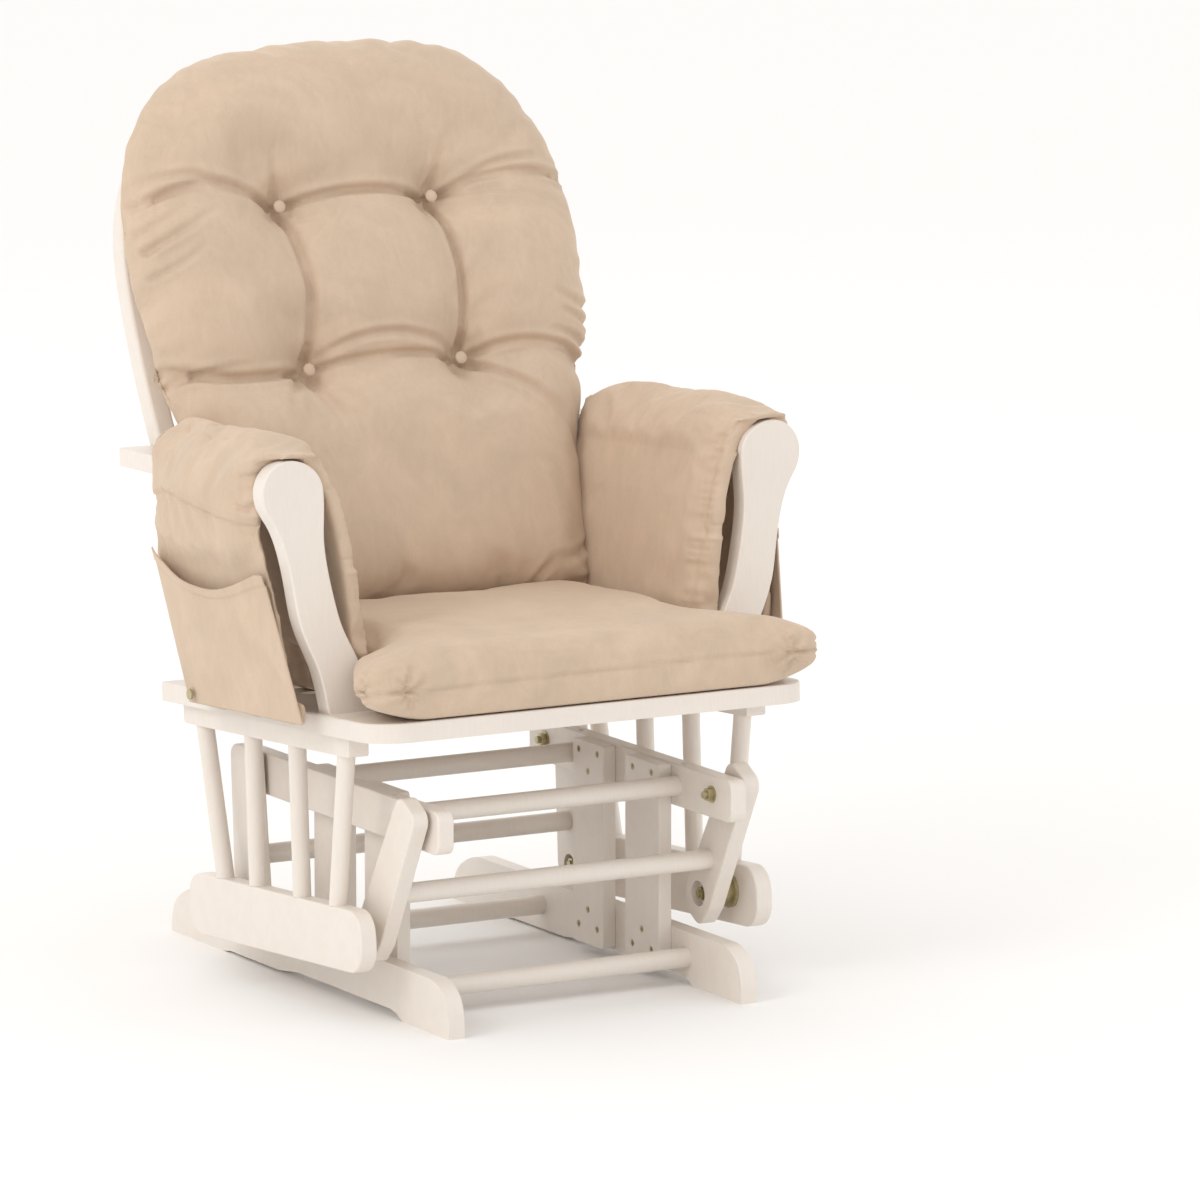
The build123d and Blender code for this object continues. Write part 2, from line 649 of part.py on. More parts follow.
def back_slat_ends(grow, mode):
    """The upright slats of the back, or the slots for them."""
    with BuildSketch(face_on(BACK, HOOP_DEPTH / 2 + BACK_SLAT_T / 2 + grow)) as outline:
        for x, top in BACK_SLATS:
            bottom = BACK_RAIL_S[1] - ROD_IN - grow
            with Locations((x, (top + bottom + grow) / 2)):
                Rectangle(BACK_SLAT_W + 2 * grow, top + grow - bottom)
    extrude(outline.sketch, amount=BACK_SLAT_T + 2 * grow, mode=mode)


def back_rail_body(grow, mode):
    """Cross rail at the foot of the back, let into both legs of the hoop."""
    half = BACK_RAIL_HALF + grow
    middle = sum(BACK_RAIL_S) / 2
    with BuildSketch(face_on(BACK, HOOP_DEPTH / 2 + BACK_RAIL_T / 2 + grow)) as outline:
        with Locations((0, middle)):
            Rectangle(2 * half, BACK_RAIL_S[1] - BACK_RAIL_S[0] + 2 * grow)
    extrude(outline.sketch, amount=BACK_RAIL_T + 2 * grow, mode=mode)


def make_back_slats():
    with BuildPart() as slats:
        back_slat_ends(0, Mode.ADD)
    save(slats, "back_slats")


def make_back_rail():
    with BuildPart() as rail:
        back_rail_body(0, Mode.ADD)
        back_slat_ends(GLUE_GAP, Mode.SUBTRACT)
    save(rail, "back_rail")


# ---------------------------------------------------------------- soft goods
def make_seat_cushion():
    with BuildPart() as cushion:
        with BuildSketch(level(SEAT, SEAT_PAD_Z[0])) as outline:
            with BuildLine():
                Polyline(*SEAT_PAD_OUTLINE, close=True)
            make_face()
            fillet(outline.vertices(), SEAT_PAD_ROUND)
        extrude(amount=SEAT_PAD_Z[1] - SEAT_PAD_Z[0])
        top = cushion.faces().sort_by(SEAT_AXIS)[-1]
        fillet(top.edges(), SEAT_PAD_EASE)
        bottom = cushion.faces().sort_by(SEAT_AXIS)[0]
        fillet(bottom.edges(), SEAT_PAD_EASE)
    save(cushion, "seat_cushion")


def make_back_cushion():
    right = [(-x, s) for x, s in reversed(BACK_PAD_OUTLINE[:-1])]
    with BuildPart() as cushion:
        with BuildSketch(face_on(BACK, BACK_PAD_Y[1])):
            with BuildLine():
                Spline(*BACK_PAD_OUTLINE, *right)
                Line(right[-1], BACK_PAD_OUTLINE[0])
            make_face()
        extrude(amount=BACK_PAD_Y[1] - BACK_PAD_Y[0])
        ends = cushion.faces().sort_by(Axis(BACK.origin, BACK.y_dir))
        fillet(ends[0].edges(), BACK_PAD_ROUND)
        for s in BUTTON_S:
            for x in (-BUTTON_X, BUTTON_X):
                with BuildSketch(face_on(BACK, BACK_PAD_Y[0])):
                    with Locations((x, s)):
                        Circle(TUFT_R)
                with BuildSketch(face_on(BACK, BACK_PAD_Y[0] + TUFT_DEPTH)):
                    with Locations((x, s)):
                        Circle(BUTTON_R + TUFT_PLAY)
                loft(mode=Mode.SUBTRACT)
    save(cushion, "back_cushion")


def make_cushion_buttons():
    with BuildPart() as buttons:
        with BuildSketch(face_on(BACK, BACK_PAD_Y[0] + TUFT_DEPTH)):
            with Locations(*[(x, s) for s in BUTTON_S for x in (-BUTTON_X, BUTTON_X)]):
                Circle(BUTTON_R)
        extrude(amount=BUTTON_T)
    save(buttons, "cushion_buttons")


def make_arm_pad(name, side):
    """Saddle-shaped pad: top over the arm board, a flap down each side of it."""
    with BuildPart() as pad:
        with BuildSketch(face_on(SEAT, PAD_Y[1])):
            with BuildLine():
                Spline(*mirrored(PAD_TOP, side))
                Polyline(*mirrored(PAD_SECTION_OUT, side))
                Line(mirrored(PAD_SECTION_OUT, side)[-1], mirrored(PAD_SECTION_IN, side)[0])
                Polyline(*mirrored(PAD_SECTION_IN, side))
            make_face()
        extrude(amount=PAD_Y[1] - PAD_NOSE_Y)
        with BuildSketch(face_on(SEAT, PAD_Y[0])):
            with BuildLine():
                Polyline(*mirrored(PAD_NOSE_CUT, side), close=True)
            make_face()
        extrude(amount=PAD_Y[0] - PAD_NOSE_Y + THROUGH, mode=Mode.SUBTRACT)
        trim_flap(side * FLAP_INNER_X, side * (FLAP_OUTER_X - FLAP_INNER_X), PAD_INNER_FRONT)
        trim_flap(side * FLAP_OUTER_X, side * FLAP_TRIM, PAD_OUTER_FRONT)
        trim_flap(side * FLAP_OUTER_X, side * FLAP_TRIM, PAD_OUTER_REAR)
    save(pad, f"arm_pad_{name}")


def trim_flap(x, reach, outline):
    """Cut the shape drawn on the chair's flank away from a flap of the pad."""
    with BuildSketch(flank(SEAT, x)) as cut:
        with BuildLine():
            Polyline(*outline, close=True)
        make_face()
    extrude(cut.sketch, amount=reach, mode=Mode.SUBTRACT)


def panel_x(z, out):
    """X of the outer flap's outside face at height z, plus a distance outwards."""
    (x_top, z_top), (x_low, z_low) = PAD_SECTION_OUT[0], PAD_SECTION_OUT[1]
    return x_low + (x_top - x_low) * (z - z_low) / (z_top - z_low) + out


def pocket_end(side, y_span, inset):
    """One end of the pocket: a slanting plane, and the wedge between panel and pocket on it."""
    low, high = POCKET_Z
    rise = high - low
    slant = Vector(0, y_span[1] - y_span[0], rise)
    shift = inset if y_span[0] < 0 else -inset
    foot = at(SEAT, 0, y_span[0] + shift, low)
    up = (at(SEAT, 0, y_span[1] + shift, high) - foot).normalized()
    plane = Plane(origin=foot, x_dir=SEAT.x_dir, z_dir=SEAT.x_dir.cross(up))
    stretch = slant.length / rise
    outside = POCKET_T - inset
    start = inset * 2
    reach = rise + inset
    wedge = [(panel_x(low + start, GLUE_GAP), start * stretch),
             (panel_x(low + start, outside + GLUE_GAP * 2), start * stretch),
             (panel_x(low + reach, POCKET_MOUTH * reach / rise + outside), reach * stretch),
             (panel_x(low + reach, GLUE_GAP), reach * stretch)]
    with BuildSketch(plane) as section:
        with BuildLine():
            Polyline(*mirrored(wedge, side), close=True)
        make_face()
    return section.sketch


def make_arm_pocket(name, side):
    """Patch pocket on the outside of an arm pad, open at the top, its ends slanting."""
    with BuildPart() as pocket:
        loft([pocket_end(side, POCKET_REAR_Y, 0), pocket_end(side, POCKET_FRONT_Y, 0)])
        loft([pocket_end(side, POCKET_REAR_Y, POCKET_T), pocket_end(side, POCKET_FRONT_Y, POCKET_T)],
             mode=Mode.SUBTRACT)
    save(pocket, f"arm_pocket_{name}")


def make_pad_snaps():
    """Press studs at the lower rear corners of the arm pads."""
    y, z = SNAP_AT
    with BuildPart() as snaps:
        for side in SIDES.values():
            x = panel_x(z, POCKET_T) + SNAP_STANDOFF
            disc(SEAT, side * x, side * (x + SNAP_T), y, z, SNAP_R)
    save(snaps, "pad_snaps")


# ---------------------------------------------------------------- build everything
for side_name, side_sign in SIDES.items():
    make_runner(side_name, side_sign)
    make_fixed_rail(side_name, side_sign)
    for end_name in UPRIGHT_Y:
        make_upright(side_name, side_sign, end_name)
    for end_name in TOP_PIVOT:
        make_swing_arm(end_name, side_name, side_sign)
    make_lower_rail(side_name, side_sign)
    make_side_rail(side_name, side_sign)
    make_spindles(side_name, side_sign)
    make_seat_side_board(side_name, side_sign)
    make_arm_post(side_name, side_sign)
    make_arm_board(side_name, side_sign)
    make_arm_pad(side_name, side_sign)
    make_arm_pocket(side_name, side_sign)

make_screws()
make_rail_pins()
for end_name in RUNNER_RODS:
    make_rod(f"runner_rod_{end_name}", BASE, RAIL_IN + ROD_IN, *RUNNER_RODS[end_name])
    make_rod(f"rail_rod_{end_name}", BASE, RAIL_IN + ROD_IN, *RAIL_RODS[end_name])
    make_rod(f"arm_rod_{end_name}", arm_frame(end_name), ARM_IN + ROD_IN, 0, -ARM_ROD_AT)
make_top_bolts()
make_bottom_bolts()
make_seat_front_board()
make_seat_rear_board()
make_seat_slats()
make_hoop()
make_hoop_bolts()
make_back_slats()
make_back_rail()
make_seat_cushion()
make_back_cushion()
make_cushion_buttons()
make_pad_snaps()
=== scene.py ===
"""Looks of the glider nursery chair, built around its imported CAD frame.

Metres, +Z up, the chair faces -Y.  Soft pieces are shaped in two leaning frames: SEAT, which
tilts with the hanging seat, and BACK, whose third axis runs up the back.
"""

import json
from math import pi, radians

import bmesh
import bpy
import numpy as np
from mathutils import Matrix


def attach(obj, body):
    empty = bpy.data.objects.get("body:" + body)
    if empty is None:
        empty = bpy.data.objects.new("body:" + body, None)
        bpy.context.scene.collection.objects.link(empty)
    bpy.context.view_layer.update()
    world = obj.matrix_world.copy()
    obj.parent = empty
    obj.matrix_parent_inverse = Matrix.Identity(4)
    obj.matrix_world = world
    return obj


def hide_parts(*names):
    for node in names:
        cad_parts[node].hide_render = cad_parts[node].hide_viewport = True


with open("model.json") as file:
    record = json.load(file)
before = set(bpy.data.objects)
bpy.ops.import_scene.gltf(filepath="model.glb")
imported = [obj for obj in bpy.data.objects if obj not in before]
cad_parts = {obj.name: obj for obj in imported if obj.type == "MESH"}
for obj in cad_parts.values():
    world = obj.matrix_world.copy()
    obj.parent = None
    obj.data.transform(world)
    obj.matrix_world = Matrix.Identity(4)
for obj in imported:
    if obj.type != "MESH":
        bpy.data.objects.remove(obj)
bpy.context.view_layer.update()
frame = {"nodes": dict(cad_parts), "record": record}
nodes = frame["nodes"]

# ---------------------------------------------------------------- driving values
MM = 0.001
SEAT_TILT = 3.6
BACK_TILT = 21.6
SEAT = np.array(Matrix.Rotation(radians(-SEAT_TILT), 3, "X"))
BACK = np.array(Matrix.Rotation(radians(-BACK_TILT), 3, "X"))
SIDES = {"left": 1, "right": -1}

LENS = 270
SENSOR = 36
CAMERA_AT = (-4.5871, -8.4506, 2.0601)
CAMERA_TURN = (80.2, 0.0, -29.5)

PAINT = (0.80, 0.735, 0.67)
FABRIC = (0.61, 0.475, 0.36)
ZINC = (0.56, 0.50, 0.31)

scene = bpy.context.scene
LENGTH_SHIFT = 84.1 * MM               # the seat frame's own datum, ahead of the middle
HEIGHT_SHIFT = LENGTH_SHIFT * np.sin(radians(SEAT_TILT))


# ---------------------------------------------------------------- camera, floor, light
def add_camera():
    data = bpy.data.cameras.new("camera")
    data.lens = LENS
    data.sensor_width = SENSOR
    data.clip_end = 100
    camera = bpy.data.objects.new("camera", data)
    camera.location = CAMERA_AT
    camera.rotation_euler = [radians(a) for a in CAMERA_TURN]
    scene.collection.objects.link(camera)
    scene.camera = camera


def add_floor():
    bpy.ops.mesh.primitive_plane_add(size=120, location=(0, 0, 0))
    floor = bpy.context.object
    floor.name = "floor"
    material, _, shader = new_material("floor_white")
    shader.inputs["Base Color"].default_value = (0.93, 0.925, 0.92, 1)
    shader.inputs["Roughness"].default_value = 0.9
    floor.data.materials.append(material)


def add_area_light(name, place, aim, size, power, tint=(1, 1, 1)):
    data = bpy.data.lights.new(name, "AREA")
    data.size = size
    data.energy = power
    data.color = tint
    light = bpy.data.objects.new(name, data)
    light.location = place
    direction = Matrix.Translation(aim).to_translation() - light.location
    light.rotation_euler = direction.to_track_quat("-Z", "Y").to_euler()
    scene.collection.objects.link(light)


def add_lights():
    world = bpy.data.worlds.new("studio")
    scene.world = world
    world.use_nodes = True
    background = world.node_tree.nodes["Background"]
    background.inputs["Color"].default_value = (1, 0.985, 0.97, 1)
    background.inputs["Strength"].default_value = 1.06
    middle = (0, 0, 0.5)
    add_area_light("key", (-4.4, -1.2, 3.4), middle, 2.2, 55, (1, 0.98, 0.95))
    add_area_light("rim", (0.5, 4.0, 3.0), middle, 2.5, 10)
    scene.view_settings.view_transform = "Standard"


# ---------------------------------------------------------------- materials
def new_material(name):
    material = bpy.data.materials.new(name)
    material.use_nodes = True
    tree = material.node_tree
    return material, tree, tree.nodes["Principled BSDF"]


def noise(tree, scale, detail=3.0, distortion=0.0, stretch=(1, 1, 1)):
    """Noise factor socket in object coordinates, in cycles per metre."""
    place = tree.nodes.new("ShaderNodeTexCoord")
    mapping = tree.nodes.new("ShaderNodeMapping")
    mapping.inputs["Scale"].default_value = stretch
    texture = tree.nodes.new("ShaderNodeTexNoise")
    texture.inputs["Scale"].default_value = scale
    texture.inputs["Detail"].default_value = detail
    texture.inputs["Distortion"].default_value = distortion
    tree.links.new(place.outputs["Object"], mapping.inputs["Vector"])
    tree.links.new(mapping.outputs["Vector"], texture.inputs["Vector"])
    return texture.outputs["Fac"]


def ramp(tree, factor, low, high, dark, light):
    node = tree.nodes.new("ShaderNodeValToRGB")
    node.color_ramp.elements[0].position = low
    node.color_ramp.elements[0].color = (*dark, 1)
    node.color_ramp.elements[1].position = high
    node.color_ramp.elements[1].color = (*light, 1)
    tree.links.new(factor, node.inputs["Fac"])
    return node.outputs["Color"]


def multiply(tree, first, second):
    """One colour times another."""
    node = tree.nodes.new("ShaderNodeMix")
    node.data_type = "RGBA"
    node.blend_type = "MULTIPLY"
    node.inputs["Factor"].default_value = 1.0
    tree.links.new(first, node.inputs["A"])
    tree.links.new(second, node.inputs["B"])
    return node.outputs["Result"]


def bump(tree, height, strength, distance, before=None):
    node = tree.nodes.new("ShaderNodeBump")
    node.inputs["Strength"].default_value = strength
    node.inputs["Distance"].default_value = distance
    tree.links.new(height, node.inputs["Height"])
    if before is not None:
        tree.links.new(before, node.inputs["Normal"])
    return node.outputs["Normal"]


def map_range(tree, factor, low, high):
    node = tree.nodes.new("ShaderNodeMapRange")
    node.inputs["To Min"].default_value = low
    node.inputs["To Max"].default_value = high
    tree.links.new(factor, node.inputs["Value"])
    return node.outputs["Result"]


def shade(colour, share):
    return tuple(c * share for c in colour)


def painted_wood():
    """Satin off-white paint: brush marks, a ghost of the grain and slightly uneven gloss."""
    material, tree, shader = new_material("painted_wood")
    cloudy = ramp(tree, noise(tree, 7, 2), 0.3, 0.7, shade(PAINT, 0.965), PAINT)
    grain = ramp(tree, noise(tree, 60, 4, 0.6, (9, 1, 1)), 0.35, 0.65, (0.975, 0.97, 0.96),
                 (1, 1, 1))
    tree.links.new(multiply(tree, cloudy, grain), shader.inputs["Base Color"])
    tree.links.new(map_range(tree, noise(tree, 25, 3), 0.34, 0.5), shader.inputs["Roughness"])
    orange_peel = bump(tree, noise(tree, 700, 2), 0.12, 0.0003)
    brushed = bump(tree, noise(tree, 90, 3, 0.3, (6, 1, 1)), 0.10, 0.0006, orange_peel)
    tree.links.new(brushed, shader.inputs["Normal"])
    shader.inputs["Coat Weight"].default_value = 0.15
    shader.inputs["Coat Roughness"].default_value = 0.25
    return material


def zinc_plate():
    """Yellow zinc: patchy colour and fine tumbling marks."""
    material, tree, shader = new_material("zinc_hardware")
    colour = ramp(tree, noise(tree, 120, 4, 1.0), 0.3, 0.7, shade(ZINC, 0.72), ZINC)
    tree.links.new(colour, shader.inputs["Base Color"])
    tree.links.new(map_range(tree, noise(tree, 400, 3), 0.28, 0.5), shader.inputs["Roughness"])
    tree.links.new(bump(tree, noise(tree, 900, 3), 0.15, 0.0002), shader.inputs["Normal"])
    shader.inputs["Metallic"].default_value = 0.9
    return material


def suede(name):
    """Brushed microfibre: smeared nap, short fibres, a fine weave under them, soft sheen."""
    material, tree, shader = new_material(name)
    nap = ramp(tree, noise(tree, 9, 5, 1.6), 0.3, 0.72, shade(FABRIC, 0.93), shade(FABRIC, 1.05))
    smear = ramp(tree, noise(tree, 45, 4, 2.2, (1, 1, 0.45)), 0.3, 0.7, (0.965, 0.96, 0.95),
                 (1.02, 1.02, 1.02))
    fibre = ramp(tree, noise(tree, 1300, 2), 0.25, 0.75, (0.93, 0.925, 0.915), (1.04, 1.04, 1.04))
    colour = multiply(tree, multiply(tree, nap, smear), fibre)
    tree.links.new(colour, shader.inputs["Base Color"])
    tree.links.new(map_range(tree, noise(tree, 30, 3), 0.84, 0.97), shader.inputs["Roughness"])
    warp = bump(tree, noise(tree, 620, 2, 0.2, (1, 1, 0.35)), 0.20, 0.0004)
    weft = bump(tree, noise(tree, 620, 2, 0.2, (0.35, 0.35, 1)), 0.20, 0.0004, warp)
    pile = bump(tree, noise(tree, 1500, 3), 0.22, 0.0004, weft)
    creased = bump(tree, noise(tree, 55, 4, 0.8), 0.14, 0.002, pile)
    tree.links.new(creased, shader.inputs["Normal"])
    shader.inputs["Sheen Weight"].default_value = 0.35
    shader.inputs["Sheen Roughness"].default_value = 0.45
    shader.inputs["Sheen Tint"].default_value = (1.0, 0.90, 0.78, 1)
    shader.inputs["Specular IOR Level"].default_value = 0.25
    return material


# ---------------------------------------------------------------- mesh tools
def coords(piece):
    flat = np.empty(len(piece.data.vertices) * 3)
    piece.data.vertices.foreach_get("co", flat)
    return flat.reshape(-1, 3)


def normals(piece):
    flat = np.empty(len(piece.data.vertices) * 3)
    piece.data.vertices.foreach_get("normal", flat)
    return flat.reshape(-1, 3)


def set_coords(piece, points):
    piece.data.vertices.foreach_set("co", np.ascontiguousarray(points).ravel())
    piece.data.update()


def link(name, mesh, material):
    piece = bpy.data.objects.new(name, mesh)
    scene.collection.objects.link(piece)
    mesh.materials.clear()
    mesh.materials.append(material)
    return piece


def smooth_shading(piece):
    piece.data.polygons.foreach_set("use_smooth", [True] * len(piece.data.polygons))


def apply_modifiers(piece):
    bpy.context.view_layer.update()
    evaluated = piece.evaluated_get(bpy.context.evaluated_depsgraph_get())
    mesh = bpy.data.meshes.new_from_object(evaluated)
    piece.modifiers.clear()
    piece.data = mesh


def remeshed_copy(node, name, voxel, material, rounds=4):
    """A copy of a CAD solid as an even quad mesh with softened edges."""
    piece = link(name, nodes[node].data.copy(), material)
    modifier = piece.modifiers.new("voxels", "REMESH")
    modifier.mode = "VOXEL"
    modifier.voxel_size = voxel
    soften = piece.modifiers.new("soften", "SMOOTH")
    soften.factor = 0.5
    soften.iterations = rounds
    apply_modifiers(piece)
    piece.data.materials.clear()
    piece.data.materials.append(material)
    return piece


def subdivide(piece):
    modifier = piece.modifiers.new("finer", "SUBSURF")
    modifier.levels = 1
    modifier.render_levels = 1
    apply_modifiers(piece)
    smooth_shading(piece)


def inflate(piece, held, cap, pressure=4.0, grow=0.0, frames=20):
    """Cloth under pressure: held is a weight per point, cap the furthest a point may go."""
    group = piece.vertex_groups.new(name="held")
    for level in (0.25, 0.5, 0.75, 1.0):
        chosen = np.nonzero(np.round(held * 4) / 4 == level)[0]
        group.add([int(i) for i in chosen], level, "REPLACE")
    start = coords(piece)
    modifier = piece.modifiers.new("cloth", "CLOTH")
    cloth = modifier.settings
    cloth.quality = 5
    cloth.mass = 0.3
    cloth.tension_stiffness = 15
    cloth.compression_stiffness = 15
    cloth.shear_stiffness = 5
    cloth.bending_stiffness = 0.5
    cloth.use_pressure = True
    cloth.uniform_pressure_force = pressure
    cloth.effector_weights.gravity = 0
    cloth.vertex_group_mass = "held"
    cloth.shrink_min = -grow
    modifier.point_cache.frame_end = frames
    for number in range(1, frames + 1):
        scene.frame_set(number)
    evaluated = piece.evaluated_get(bpy.context.evaluated_depsgraph_get())
    flat = np.empty(len(evaluated.data.vertices) * 3)
    evaluated.data.vertices.foreach_get("co", flat)
    moved = flat.reshape(-1, 3) - start
    length = np.linalg.norm(moved, axis=1, keepdims=True)
    moved *= np.minimum(1, cap / np.maximum(length, 1e-9))
    piece.modifiers.clear()
    piece.vertex_groups.clear()
    set_coords(piece, start + moved)
    scene.frame_set(1)
    relax(piece, 3)


def relax(piece, rounds, share=None):
    """Smooth out ripples, on the whole mesh or where share is not zero."""
    modifier = piece.modifiers.new("relax", "SMOOTH")
    modifier.factor = 0.5
    modifier.iterations = rounds
    if share is not None:
        group = piece.vertex_groups.new(name="relaxed")
        group.add([int(i) for i in np.nonzero(share)[0]], 1.0, "REPLACE")
        modifier.vertex_group = "relaxed"
    apply_modifiers(piece)
    piece.vertex_groups.clear()


def local_box(node, axes):
    """Lowest and highest corner of a CAD node, measured along leaning axes."""
    points = coords(nodes[node]) @ axes
    return points.min(0), points.max(0)


def along_path(points, path):
    """Distance from each 2-D point to a polyline, and how far along it, from 0 to 1."""
    path = np.array(path, float)
    steps = np.linalg.norm(np.diff(path, axis=0), axis=1)
    total = steps.sum()
    nearest = np.full(len(points), 1e9)
    share = np.zeros(len(points))
    covered = 0.0
    for first, step, length in zip(path[:-1], np.diff(path, axis=0), steps):
        t = np.clip((points - first) @ step / length ** 2, 0, 1)
        distance = np.linalg.norm(points - first - t[:, None] * step, axis=1)
        closer = distance < nearest
        nearest[closer] = distance[closer]
        share[closer] = ((covered + t * length) / total)[closer]
        covered += length
    return nearest, share


def bell(distance, width):
    return np.exp(-(distance / width) ** 2)


def eased(share):
    """A share clipped to 0..1 and eased at both ends."""
    share = np.clip(share, 0, 1)
    return share * share * (3 - 2 * share)


def smoothed(path, rounds=2):
    """Corner-cut polyline."""
    path = np.array(path, float)
    for _ in range(rounds):
        quarter = path[:-1] * 0.75 + path[1:] * 0.25
        threequarter = path[:-1] * 0.25 + path[1:] * 0.75
        middle = np.stack([quarter, threequarter], 1).reshape(-1, 2)
        path = np.vstack([path[:1], middle, path[-1:]])
    return path


def fold_depth(points, path, width, depth, ends):
    """How deep a fold presses in: a valley with a soft ridge on each side of it.

    ends: "held" at both ends, or "free" when it fades out towards its last point."""
    distance, share = along_path(points, smoothed(path))
    share = np.clip(share, 0, 1)
    strength = {"held": 1 - 0.35 * np.sin(pi * share), "free": (1 - share) ** 0.7,
                "both": np.sin(pi * np.clip(share, 0.02, 0.98)) ** 0.6}[ends]
    valley = bell(distance, width)
    ridge = bell(distance - 2.0 * width, width * 0.9)
    return depth * strength * (valley - 0.38 * ridge)


# ---------------------------------------------------------------- back cushion
TUFTS = [(x, up) for x in (-94, 94) for up in (326, 510)]      # mm above the foot of the back
VALLEYS = [                            # broad channels between the tufts and to the edge, mm
    ([(-94, 510), (0, 518), (94, 510)], 26, "held"),
    ([(-94, 326), (0, 330), (94, 326)], 24, "held"),
    ([(-94, 510), (-86, 450), (-84, 390), (-94, 326)], 24, "held"),
    ([(94, 510), (102, 450), (102, 390), (94, 326)], 24, "held"),
    ([(-94, 510), (-160, 530), (-270, 528)], 17, "free"),
    ([(94, 510), (160, 528), (262, 505)], 17, "free"),
    ([(-94, 326), (-170, 316), (-262, 330)], 19, "held"),
    ([(94, 326), (170, 330), (256, 300)], 19, "held"),
    ([(-94, 326), (-76, 262), (-66, 215)], 12, "free"),
    ([(94, 326), (130, 280), (205, 205)], 10, "free"),
    ([(-94, 510), (-92, 570)], 12, "free"),
    ([(94, 510), (106, 572)], 12, "free"),
]
CREASES = [                            # path, half width, depth, ends
    ([(-90, 511), (-40, 520), (30, 521), (90, 511)], 4.0, 6.0, "held"),
    ([(-90, 327), (-40, 333), (30, 335), (90, 327)], 3.5, 4.0, "held"),
    ([(-90, 334), (-50, 352), (0, 358), (50, 350), (90, 334)], 4.0, 3.5, "both"),
    ([(-92, 503), (-84, 450), (-82, 390), (-92, 334)], 4.5, 5.0, "held"),
    ([(96, 503), (104, 450), (104, 390), (96, 334)], 4.0, 6.0, "held"),
    ([(-98, 512), (-150, 533), (-200, 541), (-262, 522)], 4.5, 5.5, "held"),
    ([(-150, 533), (-210, 552), (-262, 548)], 4.0, 3.5, "both"),
    ([(-262, 470), (-215, 492), (-172, 512)], 4.0, 4.5, "free"),
    ([(-262, 440), (-228, 452), (-200, 470)], 3.5, 3.2, "free"),
    ([(-266, 492), (-232, 506), (-205, 520)], 3.5, 3.0, "free"),
    ([(98, 512), (140, 522), (190, 532), (258, 520)], 4.0, 5.5, "held"),
    ([(120, 520), (170, 540), (232, 545)], 4.0, 3.5, "both"),
    ([(98, 510), (150, 512), (200, 505), (258, 478)], 4.0, 4.0, "free"),
    ([(-98, 326), (-150, 318), (-200, 322), (-252, 340)], 4.5, 6.0, "held"),
    ([(-246, 322), (-205, 330), (-160, 332)], 4.0, 4.0, "free"),
    ([(98, 327), (140, 338), (185, 334), (236, 312)], 4.0, 5.0, "held"),
    ([(98, 324), (140, 296), (180, 256), (214, 208)], 4.0, 5.0, "free"),
    ([(240, 330), (212, 340), (186, 346)], 4.0, 4.5, "free"),
    ([(256, 372), (226, 378), (202, 390)], 4.5, 4.5, "free"),
    ([(250, 352), (222, 362), (204, 366)], 3.5, 3.5, "free"),
    ([(-92, 320), (-78, 280), (-72, 240)], 5.0, 3.5, "free"),
    ([(-104, 318), (-124, 290), (-128, 262)], 5.0, 2.5, "free"),
    ([(-88, 318), (-56, 286), (-40, 262)], 5.0, 2.0, "free"),
    ([(-94, 516), (-100, 545), (-99, 575)], 4.5, 3.5, "free"),
    ([(94, 516), (106, 545), (112, 575)], 4.5, 3.5, "free"),
    ([(-214, 150), (-180, 160), (-150, 158)], 5.0, 3.0, "free"),
    ([(214, 96), (186, 88), (160, 94)], 4.5, 4.5, "free"),
    ([(206, 128), (176, 112), (150, 116)], 4.5, 3.0, "free"),
    ([(120, 80), (132, 100), (150, 112)], 4.0, 3.0, "both"),
]
FOOT_DROP = 28.0        # how far the foot of the cushion sinks
FOOT_FREE = 260.0       # the sinking fades out at this height
FOOT_FULL = 78.0        # and is whole from here down
WAIST_SPREAD = 19.0     # how far the waist spreads, and at what height
WAIST_UP = 300.0


def back_outline(lo, hi):
    """Outline of the cushion's CAD solid, as (across, up) points in order."""
    points = coords(nodes["back_cushion"]) @ BACK
    rim = points[points[:, 1] > hi[1] - 0.5 * MM][:, [0, 2]]
    centre = (lo[[0, 2]] + hi[[0, 2]]) / 2
    turn = np.arctan2(rim[:, 1] - centre[1], rim[:, 0] - centre[0])
    rim = rim[np.argsort(turn)]
    keep = np.linalg.norm(np.diff(rim, axis=0, append=rim[:1]), axis=1) > 0.1 * MM
    rim = rim[keep]
    return np.vstack([rim, rim[:1]])


